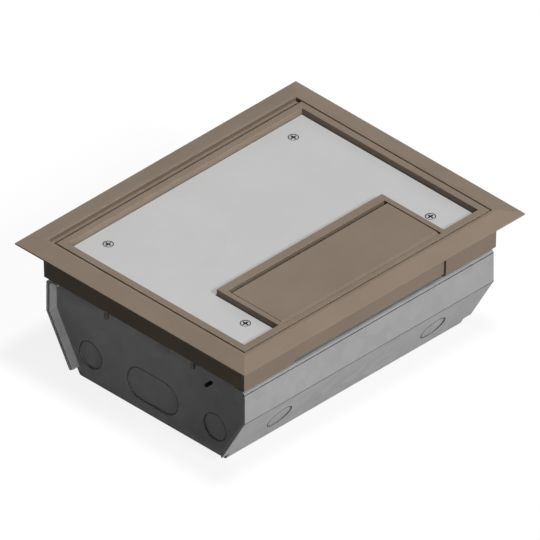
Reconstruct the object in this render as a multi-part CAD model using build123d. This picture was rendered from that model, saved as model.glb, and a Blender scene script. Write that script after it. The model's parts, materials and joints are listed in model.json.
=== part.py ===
from build123d import *
from math import atan2, cos, degrees, hypot, sin, tan
import os

# Floor socket box for a raised floor: a moulded trim frame and hinged lid over a folded steel box.
# Millimetres. The origin is the middle of the steel base's underside, +X runs along the long side,
# +Y towards the lid's hinge and +Z up.

# Trim frame: a bevelled flange that lies on the floor tile and a skirt that drops into its cut-out
flange_length = 300.0
flange_width = 245.0
flange_underside = 110.5
flange_lip = 1.2
flange_thickness = 4.6
bevel_width = 14.8
rim_width = 3.05
skirt_inset = 15.0
skirt_depth = 29.9
skirt_draft = 0.6
corner_block = 54.0
side_recess = 2.5
end_recess = 0.5
corner_strip = 3.3
ledge_drop = 4.2
ledge_thickness = 3.0
ledge_reach = 4.65
ledge_rib_depth = 9.0
ledge_rib_pitch = 22.0
ledge_rib_setback = 0.4
edge_break = 0.4

# Lid: a moulded tray with a steel infill plate, hinged on two pins in the frame's end walls
lid_gap = 1.05
lid_hinge_gap = 7.4
lid_rim = 6.3
lid_plate_drop = 5.5
lid_plate_thickness = 2.0
tray_floor = 2.5
tray_wall = 1.6
tray_rib = 2.5
tray_rib_width = 1.5
tray_rib_pitch = 30.0
tray_rib_overhang = 12.0
tray_rib_gap = 2.0
lid_axis_inset = 3.15
lid_axis_drop = 6.5
lid_pin_radius = 2.0
lid_pin_hold = 12.0
lid_pin_engagement = 2.0
pin_fit = 0.05
pin_end_room = 0.2
lid_boss_depth = 7.0
lid_boss_setback = 0.75
lid_boss_wall = 2.0
lid_swing_room = 5.0
lid_screw_inset = 26.0
lid_screw_near_inset = 24.8
lid_screw_far_inset = 17.05
lid_screw_grip = 4.0
lid_post_depth = 4.0

# Cable outlet in the lid, with its hinged flap
outlet_surround_inset = 36.5
outlet_surround_width = 66.05
outlet_rim = 4.7
outlet_hinge_rim = 7.15
outlet_reach = 1.9
outlet_collar = 3.0
flap_gap = 0.7
flap_near_gap = 0.4
flap_hinge_gap = 4.0
flap_thickness = 2.6
flap_drop = 0.3
flap_chamfer = 4.0
flap_chamfer_share = 0.7
flap_axis_inset = 2.1
flap_axis_drop = 3.2
flap_knuckle_radius = 2.4
flap_knuckle_length = 11.0
flap_pin_radius = 1.2
flap_pin_engagement = 3.0
flap_pin_hold = 9.0
flap_seat_width = 3.0
flap_seat_thickness = 2.5
flap_seat_gap = 6.0
flap_rib = 2.0
flap_ribs = 4
flap_rib_margin = 4.0
foam_end_gap = 7.9
foam_width = 9.0
foam_thickness = 4.5

# Folded steel box: one trough of base, leaning sides, upright sides and lips, and two end plates
sheet = 1.5
bend_radius = 3.0
box_end_inset = 24.9
side_overhang = 7.7
base_width = 155.8
box_side_inset = 16.4
lip_drop = 2.5
upright_height = 28.7
lip_width = 12.0
relief_height = 6.5
relief_room = 1.0
corner_relief = 1.0
plate_fit = 0.3
end_flange_drop = 10.5
end_flange_width = 12.6
end_top_margin = 2.0
end_foot_inset = 8.0
knockout_press = 0.6
end_knockout_radius = 11.75
end_knockout_inset = 11.6
end_knockout_z = 23.7
oval_length = 53.8
oval_width = 28.6
side_knockout_radius = 11.65
side_knockout_inset = 43.2
strap_slot_inset = 46.6
strap_slot_drop = 18.1
strap_slot_length = 11.5
strap_slot_width = 3.2
base_hole_radius = 2.75
base_hole_end_inset = 25.1
base_hole_side_inset = 22.9

# Fixings between frame and box, and the clamps that grip the tile from below
lug_inset = 33.5
lug_half = 8.0
lug_thickness = 4.0
lug_web = 3.0
lug_web_rise = 8.0
fixing_screw_radius = 2.0
fixing_screw_length = 14.0
countersunk_head_radius = 4.0
screw_clearance = 0.25
countersunk_drive_depth = 1.3
drive_share = 0.62
drive_blade_share = 0.2
clamp_inset = 61.4
clamp_boss_half = 5.0
clamp_boss_drop = 9.0
clamp_screw_length = 32.8
clamp_head_radius = 3.5
clamp_head_height = 2.5
clamp_head_room = 0.6
clamp_fit = 0.06
claw_fit = 0.05
claw_thickness = 2.2
claw_width = 6.2
claw_length = 21.0
claw_drop = 0.4
boss_gap = 0.3
stack_gap = 0.05

# Partitions, rails and the three accessory plates
compartments = 3
divider_thickness = 1.0
divider_drop = 6.1
divider_foot = 10.0
divider_foot_inset = 14.0
divider_step_drop = 0.5
divider_rail_gap = 0.4
cable_notch_width = 28.0
cable_notch_height = 12.0
cable_notch_rise = 3.0
cable_notch_inset = 2.0
rail_drop = 26.1
rail_reach = 20.6
rail_upstand = 14.0
rail_fit = 0.05
rail_notch_half = 1.0
rail_notch_depth = 3.0
accessory_plate_inset = 12.1
accessory_plate_thickness = 1.5
accessory_plate_gap = 1.2
accessory_fold = 6.0
accessory_fold_inset = 12.5
accessory_edge_radius = 1.0
accessory_screw_inset = 16.3
accessory_screw_radius = 1.75
accessory_screw_length = 7.0
pan_head_radius = 3.4
pan_head_height = 2.2

# Twin switched socket
socket_end_gap = 17.5
socket_width = 66.0
socket_rise = 3.5
socket_bevel = 1.2
socket_neck_inset = 3.0
socket_neck_depth = 3.0
socket_back_depth = 24.0
socket_back_inset = 1.0
socket_back_end_inset = 4.0
socket_foot_taper_x = 7.0
socket_foot_taper_y = 10.0
socket_shoulder_share = 0.33
socket_screw_inset = 0.5
socket_sink_depth = 1.4
socket_pitch_extra = 1.0
pin_pitch = 22.2
live_slot_length = 7.2
live_slot_width = 4.8
earth_slot_length = 8.8
earth_slot_width = 4.8
slot_depth = 20.0
shutter_thickness = 1.8
shutter_gap = 0.15
shutter_travel = 6.5
shutter_overlap = 0.8
shutter_arm_width = 4.0
rocker_x = 13.0
rocker_width = 11.0
rocker_half_length = 9.8
rocker_gap = 0.5
rocker_end_gap = 1.0
rocker_rest_tilt = 6.0
rocker_pivot_radius = 1.5
rocker_pivot_depth = 1.5
rocker_fit = 0.05
rocker_well_depth = 11.0
rocker_pivot_drop = 4.0
rocker_crest = 1.8
rocker_valley = 0.6
rocker_belly_half = 6.0
rocker_belly_depth = 3.0
rocker_end_rise = 1.5

# Data outlets and earth stud
jack_count = 4
jack_pitch = 24.0
jack_width = 17.0
jack_length = 19.0
jack_rim = 1.2
jack_rim_chamfer = 0.4
jack_fit = 0.1
jack_body_inset = 1.2
jack_body_depth = 17.0
jack_opening_x = 8.2
jack_opening_y = 11.9
jack_latch_x = 1.5
jack_latch_y = 6.0
jack_depth = 13.0
stud_radius = 2.0
stud_length = 16.0
stud_y = 40.0
stud_head_radius = 5.0
stud_head_height = 1.2
nut_across_flats = 7.0
nut_thickness = 3.2
nut_gap = 2.0

# Levels and planes that the sizes above fix
top_z = flange_underside + flange_thickness
ledge_z = top_z - ledge_drop
opening_length = flange_length - 2 * (bevel_width + rim_width)
opening_width = flange_width - 2 * (bevel_width + rim_width)
skirt_length = flange_length - 2 * skirt_inset
skirt_width = flange_width - 2 * skirt_inset
skirt_foot = flange_underside - skirt_depth
lip_height = skirt_foot - lip_drop
break_height = lip_height - upright_height
skirt_wall = (skirt_length - opening_length) / 2
recess_inner = opening_width / 2 - side_recess
end_x = flange_length / 2 - box_end_inset
side_x = end_x + side_overhang
box_width = flange_width - 2 * box_side_inset
lid_x = opening_length / 2 - lid_gap
lid_near = -opening_width / 2 + lid_gap
lid_far = opening_width / 2 - lid_hinge_gap
recess_x = lid_x - lid_rim
recess_near = lid_near + lid_rim
recess_far = lid_far - lid_rim
tray_x = recess_x + tray_wall
lid_plate_top = top_z - lid_plate_drop
tray_floor_top = lid_plate_top - lid_plate_thickness
tray_underside = tray_floor_top - tray_floor
lid_axis_y = lid_far - lid_axis_inset
lid_axis_z = top_z - lid_axis_drop
surround_x = recess_x - outlet_surround_inset
surround_far = recess_near + outlet_surround_width
outlet_x = surround_x - outlet_rim
outlet_near = recess_near - outlet_reach
outlet_far = surround_far - outlet_hinge_rim
flap_x = outlet_x - flap_gap
foam_x = flap_x - foam_end_gap
flap_near = outlet_near + flap_near_gap
flap_far = outlet_far - flap_hinge_gap
flap_top = top_z - flap_drop
flap_underside = flap_top - flap_thickness
flap_axis_y = flap_far - flap_axis_inset
flap_axis_z = flap_top - flap_axis_drop
lean = atan2((box_width - base_width) / 2, break_height)
clamp_x = (end_x + opening_length / 2) / 2
clamp_y = skirt_width / 2 - clamp_inset
lug_y = skirt_width / 2 - lug_inset
end_top_half = lug_y + lug_half + end_top_margin
end_foot_half = base_width / 2 - end_foot_inset
end_knockout_y = base_width / 2 - end_knockout_inset
strap_slot_y = box_width / 2 - strap_slot_inset
strap_slot_z = lip_height - strap_slot_drop
side_knockout_x = end_x - side_knockout_inset
base_hole_x = end_x - base_hole_end_inset
base_hole_y = base_width / 2 - base_hole_side_inset
lug_screw_x = end_x - (end_flange_width + sheet) / 2
end_flange_top = flange_underside - end_flange_drop
lug_top = end_flange_top + lug_thickness
clamp_boss_top = flange_underside - clamp_boss_drop
clamp_screw_end = clamp_boss_top - clamp_screw_length
claw_top = skirt_foot - claw_drop
inner_end = end_x - sheet
compartment_pitch = 2 * inner_end / compartments
compartment_x = [compartment_pitch * (i - (compartments - 1) / 2) for i in range(compartments)]
divider_x = [compartment_pitch * (i + 1) - inner_end for i in range(compartments - 1)]
inner_half = box_width / 2 - sheet
divider_top = lip_height - divider_drop
rail_height = lip_height - rail_drop
shelf_top = rail_height + sheet
plate_top = shelf_top + accessory_plate_thickness
accessory_plate_width = compartment_pitch - divider_thickness - 2 * accessory_plate_gap
accessory_plate_half = inner_half - accessory_plate_inset
accessory_fold_half = accessory_plate_half - accessory_fold_inset
accessory_screw_y = inner_half - accessory_screw_inset
socket_length = 2 * (accessory_plate_half - socket_end_gap)
socket_pitch = socket_length / 2 + socket_pitch_extra
socket_top = plate_top + socket_rise
neck_foot = shelf_top - socket_neck_depth
neck_x = socket_width / 2 - socket_neck_inset
neck_y = socket_length / 2 - socket_neck_inset
back_foot = neck_foot - socket_back_depth
pivot_z = socket_top - rocker_pivot_drop


def block(x, y, z):
    """A box between three pairs of low and high values."""
    centre = [(low + high) / 2 for low, high in (x, y, z)]
    return Pos(*centre) * Box(*[high - low for low, high in (x, y, z)])


def centred(length, width, z):
    """A box centred on the Z axis between two levels."""
    return block((-length / 2, length / 2), (-width / 2, width / 2), z)


def end_pair(x, y, z):
    """Two blocks, one at each end of the box, between two distances from its middle."""
    return block(x, y, z) + block((-x[1], -x[0]), y, z)


def post(radius, x, y, z):
    """An upright cylinder between two levels."""
    return Pos(x, y, (z[0] + z[1]) / 2) * Cylinder(radius, z[1] - z[0])


def axle(radius, x, y, z):
    """A cylinder along X between two stations."""
    return Pos(sum(x) / 2, y, z) * Rot(0, 90, 0) * Cylinder(radius, abs(x[1] - x[0]))


def frustum(low_size, high_size, z, centre_y=0):
    """A straight-sided solid between two rectangles, given as (length, width)."""
    low = Pos(0, centre_y, z[0]) * Rectangle(*low_size)
    high = Pos(0, centre_y, z[1]) * Rectangle(*high_size)
    return loft([low, high], ruled=True)


def across(points):
    """A face in the YZ plane from a list of (y, z) points."""
    return Plane.YZ * make_face(Polyline(*points, close=True))


def along_x(face, x):
    """Extrude a YZ face between two stations along X."""
    return extrude(Pos(x[0], 0, 0) * face, amount=x[1] - x[0], dir=(1, 0, 0))


def skirt_outline(length, width, block_length, z):
    """The skirt seen from above: corner blocks stand out, the middle of each long side is set in."""
    x, y, inner = length / 2, width / 2, length / 2 - block_length
    quarter = [(inner, y - side_recess), (inner, y), (x, y)]
    points = quarter + [(px, -py) for px, py in reversed(quarter)]
    points += [(-px, -py) for px, py in quarter] + [(-px, py) for px, py in reversed(quarter)]
    return Pos(0, 0, z) * make_face(Polyline(*points, close=True))


def trim_frame():
    """Flange, skirt and lid ledge in one moulding, with its clamp bosses and fixing lugs."""
    lip_top = flange_underside + flange_lip
    rim_size = (flange_length - 2 * bevel_width, flange_width - 2 * bevel_width)
    flange = centred(flange_length, flange_width, (flange_underside, lip_top))
    flange += frustum((flange_length, flange_width), rim_size, (lip_top, top_z))

    drafted = 2 * skirt_draft
    crown = skirt_outline(skirt_length, skirt_width, corner_block, flange_underside)
    foot = skirt_outline(skirt_length - drafted, skirt_width - drafted,
                         corner_block - skirt_draft, skirt_foot)
    body = flange + loft([foot, crown], ruled=True)

    opening = (opening_length, opening_width)
    wide_opening = (opening_length + 2 * edge_break, opening_width + 2 * edge_break)
    body -= centred(*opening, (ledge_z, top_z + 1))
    body -= frustum(opening, wide_opening, (top_z - edge_break, top_z))
    void = skirt_outline(*opening, corner_block - 2 * skirt_wall, skirt_foot - 1)
    body -= extrude(void, amount=ledge_z - ledge_thickness - skirt_foot + 1)
    ledge_x = opening_length / 2 - ledge_reach
    ledge_near = -opening_width / 2 + ledge_reach
    ledge_span = (ledge_z - ledge_thickness - 1, ledge_z + 1)
    body -= block((-ledge_x, ledge_x), (ledge_near, recess_inner), ledge_span)
    swing_zone = (recess_far - lid_swing_room, recess_inner)
    body -= end_pair((ledge_x, opening_length / 2), swing_zone, ledge_span)
    strip_y = skirt_width / 2 - corner_strip
    body -= end_pair((skirt_length / 2 - end_recess, skirt_length), (-strip_y, strip_y),
                     (skirt_foot - 1, flange_underside))

    for side in (-1, 1):
        wall = side * (opening_length / 2 + skirt_wall / 2)
        bore_end = opening_length / 2 + lid_pin_engagement + pin_end_room
        body -= axle(lid_pin_radius + pin_fit, (side * (opening_length / 2 - 1), side * bore_end),
                     lid_axis_y, lid_axis_z)
        for y in (-clamp_y, clamp_y):
            body += block(sorted((side * (end_x + boss_gap), wall)),
                          (y - clamp_boss_half, y + clamp_boss_half), (skirt_foot, clamp_boss_top))
            body -= post(clamp_fit + fixing_screw_radius, side * clamp_x, y,
                         (skirt_foot - 1, clamp_boss_top + 1))
            room = clamp_head_radius + clamp_head_room
            body -= block((side * clamp_x - room, side * clamp_x + room), (y - room, y + room),
                          (clamp_boss_top, ledge_z))
        for y in (-lug_y, lug_y):
            body += fixing_lug(side, y, wall)
        for y in (-ledge_rib_pitch, 0, ledge_rib_pitch):
            body += ledge_rib(side, y, ledge_x)
    return body


def fixing_lug(side, y, wall):
    """A lug that reaches over the end plate's top flange, held up by a web in the side channel."""
    reach = side * (end_x - end_flange_width)
    lug = block(sorted((reach, wall)), (y - lug_half, y + lug_half), (end_flange_top, lug_top))
    web = block(sorted((side * (end_x + boss_gap), wall)), (y - lug_web / 2, y + lug_web / 2),
                (skirt_foot + lug_web_rise, end_flange_top))
    x = side * lug_screw_x
    hole = post(fixing_screw_radius + screw_clearance, x, y, (end_flange_top - 1, lug_top + 1))
    return lug + web - hole - countersink(x, y, lug_top)


def ledge_rib(side, y, ledge_x):
    """A small triangular rib between the end wall and the underside of the ledge."""
    outer, inner = opening_length / 2 + ledge_rib_setback, ledge_x + ledge_rib_setback
    high = ledge_z - ledge_thickness
    low = high - ledge_rib_depth
    points = [(side * inner, high), (side * outer, high), (side * outer, low)]
    face = Plane.XZ * make_face(Polyline(*points, close=True))
    return extrude(Pos(0, y, 0) * face, amount=tray_rib_width / 2, both=True)


def countersink(x, y, z):
    """The cone that a countersunk head fills, with its rim at z."""
    depth = countersunk_head_radius - fixing_screw_radius
    return Pos(x, y, z - depth / 2) * Cone(fixing_screw_radius, countersunk_head_radius, depth)


def cross_recess(x, y, z, head_radius, depth):
    """A cross-head driver recess sunk from z into a head."""
    reach = head_radius * drive_share
    blade = reach * drive_blade_share
    slot = block((-reach, reach), (-blade, blade), (-depth, 1))
    return Pos(x, y, z) * (slot + Rot(0, 0, 90) * slot)


def countersunk_screw(x, y, z, length):
    """A countersunk screw, its head flush at z."""
    return countersink(x, y, z) + post(fixing_screw_radius, x, y, (z - length, z - 1))


def lid_edge():
    """The lid's rim plate, with the sharp top edge broken."""
    centre = (lid_near + lid_far) / 2
    size = (2 * lid_x, lid_far - lid_near)
    small = (size[0] - 2 * edge_break, size[1] - 2 * edge_break)
    plate = block((-lid_x, lid_x), (lid_near, lid_far), (ledge_z, top_z - edge_break))
    return plate + frustum(size, small, (top_z - edge_break, top_z), centre)


def lid_frame():
    """Rim, tray and cable outlet surround in one moulding, ribbed below."""
    tray = block((-tray_x, tray_x), (recess_near - tray_wall, recess_far + tray_wall),
                 (tray_underside, ledge_z))
    body = lid_edge() + tray
    body -= block((-recess_x, recess_x), (recess_near, recess_far), (tray_floor_top, top_z + 1))
    body += block((-surround_x, surround_x), (recess_near - 0.5, surround_far),
                  (tray_underside - outlet_collar, top_z))
    for offset in range(-3, 4):
        x = offset * tray_rib_pitch
        body += block((x - tray_rib_width / 2, x + tray_rib_width / 2),
                      (surround_far - 1, recess_far - tray_rib_gap),
                      (tray_underside - tray_rib, tray_floor_top))
    for share in (0.2, 0.5, 0.8):
        y = surround_far + share * (recess_far - surround_far)
        rib_end = 3 * tray_rib_pitch + tray_rib_overhang
        body += block((-rib_end, rib_end), (y - tray_rib_width / 2, y + tray_rib_width / 2),
                      (tray_underside - tray_rib, tray_floor_top))
    for x, y in lid_screw_places():
        body += post(countersunk_head_radius, x, y, (tray_underside - lid_post_depth, tray_floor_top))
        body -= post(fixing_screw_radius, x, y, (tray_underside - lid_post_depth - 1, lid_plate_top))
    body -= block((-outlet_x, outlet_x), (outlet_near, outlet_far), (0, top_z + 1))
    for side in (-1, 1):
        seat = (side * (outlet_x - flap_seat_width), side * (outlet_x + 1))
        body += block(sorted(seat), (recess_near, flap_axis_y - flap_seat_gap),
                      (flap_underside - flap_seat_thickness, flap_underside))
        bore_end = outlet_x + flap_pin_engagement + pin_end_room
        body -= axle(flap_pin_radius + pin_fit, (side * (outlet_x - 1), side * bore_end),
                     flap_axis_y, flap_axis_z)
        body += block(sorted((side * (tray_x - lid_pin_hold - lid_boss_wall), side * tray_x)),
                      (recess_far, lid_far - lid_boss_setback), (ledge_z - lid_boss_depth, ledge_z))
        body -= axle(lid_pin_radius, (side * (tray_x - lid_pin_hold), side * (tray_x + 1)),
                     lid_axis_y, lid_axis_z)
    return body


def lid_screw_places():
    x = recess_x - lid_screw_inset
    ys = (recess_near + lid_screw_near_inset, recess_far - lid_screw_far_inset)
    return [(side * x, y) for side in (-1, 1) for y in ys]


def lid_plate():
    """The steel infill plate, cut out around the cable outlet and countersunk for its screws."""
    fit = plate_fit
    body = block((-recess_x + fit, recess_x - fit), (recess_near + fit, recess_far - fit),
                 (tray_floor_top, lid_plate_top))
    body -= block((-surround_x - fit, surround_x + fit), (recess_near - 1, surround_far + fit),
                  (tray_floor_top - 1, top_z))
    for x, y in lid_screw_places():
        body -= countersink(x, y, lid_plate_top)
        body -= post(fixing_screw_radius, x, y, (tray_floor_top - 1, lid_plate_top))
    return body


def lid_plate_screws():
    length = tray_floor + lid_plate_thickness + lid_screw_grip
    return [countersunk_screw(x, y, lid_plate_top, length)
            - cross_recess(x, y, lid_plate_top, countersunk_head_radius, countersunk_drive_depth)
            for x, y in lid_screw_places()]


def lid_hinge_pins():
    """Steel pins held in the lid's corner bosses; their free ends turn in the frame's end walls."""
    outer = opening_length / 2 + lid_pin_engagement
    return [axle(lid_pin_radius, (side * (tray_x - lid_pin_hold), side * outer), lid_axis_y, lid_axis_z)
            for side in (-1, 1)]


def cable_flap():
    """The flap: a flat panel, chamfered where the cables leave, with two hinge knuckles."""
    chamfer_drop = flap_thickness * flap_chamfer_share
    points = [(flap_near, flap_underside), (flap_far, flap_underside), (flap_far, flap_top),
              (flap_near + flap_chamfer, flap_top), (flap_near, flap_top - chamfer_drop)]
    body = along_x(across(points), (-flap_x, flap_x))
    for side in (-1, 1):
        knuckle = (side * (flap_x - flap_knuckle_length), side * flap_x)
        barrel = axle(flap_knuckle_radius, knuckle, flap_axis_y, flap_axis_z)
        web = block(sorted(knuckle), (flap_axis_y - flap_knuckle_radius, flap_axis_y),
                    (flap_axis_z, flap_underside + 0.5))
        body += barrel + web
        body -= axle(flap_pin_radius, (side * (flap_x - flap_pin_hold), side * (flap_x + 1)),
                     flap_axis_y, flap_axis_z)
    body &= block((-flap_x, flap_x), (flap_near, flap_far), (0, flap_top))
    rib_ends = (flap_near + flap_chamfer + foam_width + flap_rib_margin,
                flap_axis_y - flap_knuckle_radius - flap_rib_margin)
    for number in range(flap_ribs):
        x = (2 * number + 1 - flap_ribs) * flap_x / flap_ribs
        body += block((x - tray_rib_width / 2, x + tray_rib_width / 2), rib_ends,
                      (flap_underside - flap_rib, flap_underside + 0.5))
    return body


def flap_hinge_pins():
    outer = outlet_x + flap_pin_engagement
    return [axle(flap_pin_radius, (side * (flap_x - flap_pin_hold), side * outer),
                 flap_axis_y, flap_axis_z) for side in (-1, 1)]


def flap_foam():
    """A soft strip under the flap's free edge that closes round the cables."""
    near = flap_near + flap_chamfer
    return block((-foam_x, foam_x), (near, near + foam_width),
                 (flap_underside - foam_thickness, flap_underside))


def slope_y(z, inset):
    """Half width of the leaning sides at a level, at a distance inside their outer face."""
    return base_width / 2 + z * tan(lean) - inset / cos(lean)


def trough_points(inset, low, high):
    """The trough's cross-section at an inset from its outer face, between two levels."""
    upright = box_width / 2 - inset
    break_z = (upright - slope_y(0, inset)) / tan(lean)
    start = slope_y(low, inset) - corner_relief
    right = [(start, low), (slope_y(low + corner_relief, inset), low + corner_relief),
             (upright, break_z), (upright, high)]
    return right + [(-y, z) for y, z in reversed(right)]


def slope_plane(side, x):
    """The outer face of a leaning side at mid-slope, with its normal pointing out."""
    z = break_height / 2
    normal = (0, side * cos(lean), -sin(lean))
    return Plane(origin=(x, side * slope_y(z, 0), z), x_dir=(1, 0, 0), z_dir=normal)


def half_shear(body, plane, outline):
    """Press a knock-out blank part of the way through the sheet, into the box."""
    inner = plane.offset(-sheet)
    body -= extrude(plane * outline, amount=-knockout_press)
    return body + extrude(inner * outline, amount=-knockout_press)


def box_trough():
    """Base, leaning sides, upright sides and lips, folded from one sheet."""
    y, lip_y = box_width / 2, box_width / 2 - lip_width
    points = [(lip_y, lip_height), (y, lip_height), (y, break_height), (base_width / 2, 0)]
    points += [(-py, pz) for py, pz in reversed(points)]
    line = FilletPolyline(*points, radius=bend_radius)
    section = Plane.YZ * make_face(offset(line, amount=sheet, side=Side.RIGHT))
    body = along_x(section, (-side_x, side_x))
    body -= end_pair((end_x, side_x + 1), (-box_width, box_width), (-1, relief_height))
    for side in (-1, 1):
        for x in (-side_knockout_x, side_knockout_x):
            body = half_shear(body, slope_plane(side, x), Circle(side_knockout_radius))
    for x in (-base_hole_x, base_hole_x):
        for hole_y in (-base_hole_y, base_hole_y):
            body -= post(base_hole_radius, x, hole_y, (-1, sheet + 1))
    return body


def end_plate(side):
    """An end wall: a pan whose flanges turn outwards along the sides and inwards top and bottom."""
    low, high = sheet, lip_height - bend_radius - plate_fit
    outer = across(trough_points(sheet + plate_fit, low, high))
    inner = across(trough_points(2 * sheet + plate_fit, low - 5, high + 5))
    pan = along_x(outer, (inner_end, side_x - plate_fit))
    pan -= along_x(inner, (end_x, side_x + 1))
    pan -= block((end_x, side_x + 1), (-box_width, box_width), (0, relief_height + relief_room))
    pan += block((inner_end, end_x), (-end_top_half, end_top_half), (high - 1, end_flange_top))
    pan += block((end_x - end_flange_width, end_x), (-end_top_half, end_top_half),
                 (end_flange_top - sheet, end_flange_top))
    pan += block((end_x - end_flange_width, end_x), (-end_foot_half, end_foot_half), (low, low + sheet))
    for y in (-lug_y, lug_y):
        pan -= post(fixing_screw_radius, lug_screw_x, y, (end_flange_top - sheet - 1, end_flange_top + 1))
    for y in (-end_knockout_y, 0, end_knockout_y):
        plane = Plane(origin=(end_x, y, end_knockout_z), x_dir=(0, 1, 0), z_dir=(1, 0, 0))
        outline = Circle(end_knockout_radius) if y else SlotOverall(oval_length, oval_width)
        pan = half_shear(pan, plane, outline)
    slot_plane = Plane(origin=(end_x + 1, strap_slot_y, strap_slot_z), x_dir=(0, 1, 0), z_dir=(1, 0, 0))
    slot = Rot(0, 0, 45) * SlotOverall(strap_slot_length, strap_slot_width)
    pan -= extrude(slot_plane * slot, amount=-sheet - 2)
    return pan if side > 0 else Rot(0, 0, 180) * pan


def frame_screws():
    """Thread-forming screws through the frame's lugs into the end plates' top flanges."""
    return [countersunk_screw(side * lug_screw_x, y, lug_top, fixing_screw_length)
            for side in (-1, 1) for y in (-lug_y, lug_y)]


def hex_nut(x, y, z):
    """A nut standing on z, bored to its screw."""
    outline = RegularPolygon(nut_across_flats / 2, 6, major_radius=False)
    body = Pos(x, y, z) * extrude(outline, nut_thickness)
    return body - post(fixing_screw_radius, x, y, (z - 1, z + nut_thickness + 1))


def clamp_screw(x, y):
    """A clamp screw that turns in the frame's boss, its head on top."""
    seat = clamp_boss_top + stack_gap
    head = post(clamp_head_radius, x, y, (seat, seat + clamp_head_height))
    return head + post(fixing_screw_radius, x, y, (clamp_screw_end, seat + 1))


def clamp_claw(x, y):
    """A steel claw parked in line with the end wall, pointing to the middle of the side."""
    towards = -1 if y > 0 else 1
    half, z = claw_width / 2, (claw_top - claw_thickness, claw_top)
    tip = y + towards * claw_length
    body = block((x - half, x + half), sorted((y, tip)), z) + post(half, x, y, z)
    return body - post(fixing_screw_radius + claw_fit, x, y, (z[0] - 1, z[1] + 1))


def divider(x):
    """A partition across the trough, narrowed above the rails, with a foot and a cable notch."""
    low, shelf = sheet, rail_height - divider_step_drop
    half, foot = divider_thickness / 2, sheet + divider_thickness
    lower = trough_points(sheet + plate_fit, low, shelf)
    body = along_x(across(lower), (x - half, x + half))
    upper = inner_half - rail_reach - divider_rail_gap
    body += block((x - half, x + half), (-upper, upper), (shelf - 1, divider_top))
    towards = 1 if x < 0 else -1
    foot_y = slope_y(low, sheet) - divider_foot_inset
    body += block(sorted((x, x + towards * divider_foot)), (-foot_y, foot_y), (low, foot))
    notch_y, notch_z = foot_y - cable_notch_inset, foot + cable_notch_rise
    return body - block((x - 1, x + 1), (notch_y - cable_notch_width, notch_y),
                        (notch_z, notch_z + cable_notch_height))


def plate_rail(side):
    """An angle along one side that carries the ends of the accessory plates."""
    length = inner_end - plate_fit
    wall = inner_half - rail_fit
    shelf = block((-length, length), sorted((side * (wall - rail_reach), side * wall)),
                  (rail_height, shelf_top))
    upstand = block((-length, length), sorted((side * (wall - sheet), side * wall)),
                    (rail_height, rail_height + rail_upstand))
    body = shelf + upstand
    for x, y in accessory_screw_places():
        if y * side > 0:
            body -= post(accessory_screw_radius, x, y, (rail_height - 1, shelf_top + 1))
    edge = wall - rail_reach
    for x in divider_x:
        body -= block((x - rail_notch_half, x + rail_notch_half),
                      sorted((side * (edge - 1), side * (edge + rail_notch_depth))),
                      (rail_height - 1, shelf_top + 1))
    return body


def accessory_screw_places():
    return [(x, y) for x in compartment_x for y in (-accessory_screw_y, accessory_screw_y)]


def accessory_plate(x):
    """A plate across one compartment, folded down along its long edges."""
    half, end = accessory_plate_width / 2, accessory_plate_half
    body = block((x - half, x + half), (-end, end), (shelf_top, plate_top))
    for side in (-1, 1):
        edge = (x + side * (half - accessory_plate_thickness), x + side * half)
        body += block(sorted(edge), (-accessory_fold_half, accessory_fold_half),
                      (plate_top - accessory_fold, plate_top))
    long_edges = body.edges().filter_by(Axis.Y).group_by(Axis.Z)[-1]
    body = fillet(long_edges, accessory_edge_radius)
    for y in (-accessory_screw_y, accessory_screw_y):
        body -= post(accessory_screw_radius, x, y, (shelf_top - 1, plate_top + 1))
    return body


def pan_screw(x, y, z, length):
    """A cheese-head screw seated at z."""
    head = post(pan_head_radius, x, y, (z, z + pan_head_height))
    return head + post(accessory_screw_radius, x, y, (z - length, z + 1))


def accessory_screws():
    return [pan_screw(x, y, plate_top, accessory_screw_length) for x, y in accessory_screw_places()]


def socket_plate(x):
    """The accessory plate with the cut-out that the twin socket drops into."""
    cut = block((x - neck_x, x + neck_x), (-neck_y, neck_y), (shelf_top - 1, plate_top + 1))
    body = accessory_plate(x) - cut
    for y in socket_screw_y():
        body -= post(accessory_screw_radius, x, y, (shelf_top - 1, plate_top + 1))
    return body


def socket_centres():
    return (-socket_pitch / 2, socket_pitch / 2)


def socket_screw_y():
    place = neck_y + socket_screw_inset
    return (-place, place)


def live_slots(x, y, z):
    """The two flat-pin slots of one socket."""
    return [block((x + dx - live_slot_length / 2, x + dx + live_slot_length / 2),
                  (y - pin_pitch / 2 - live_slot_width / 2, y - pin_pitch / 2 + live_slot_width / 2), z)
            for dx in (-pin_pitch / 2, pin_pitch / 2)]


def earth_slot(x, y, z):
    return block((x - earth_slot_width / 2, x + earth_slot_width / 2),
                 (y + pin_pitch / 2 - earth_slot_length / 2, y + pin_pitch / 2 + earth_slot_length / 2), z)


def shutter_outline():
    """Half width in X, then the near and far edges of the blade from the socket's centre."""
    blade_x = pin_pitch / 2 + live_slot_length / 2 + shutter_overlap
    near = -pin_pitch / 2 - live_slot_width / 2 - shutter_overlap
    return blade_x, near, -pin_pitch / 2 + live_slot_width / 2 + shutter_overlap


def shutter_pocket(x, y):
    """The space under the front in which one shutter slides."""
    blade_x, near, far = shutter_outline()
    z = (neck_foot - 1, neck_foot + shutter_thickness + 2 * shutter_gap)
    arm = shutter_arm_width / 2 + shutter_gap
    body = block((x - blade_x - shutter_gap, x + blade_x + shutter_gap),
                 (y + near - shutter_travel - shutter_gap, y + far + shutter_gap), z)
    reach = pin_pitch / 2 - earth_slot_length / 2
    return body + block((x - arm, x + arm), (y + far, y + reach), z)


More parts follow.
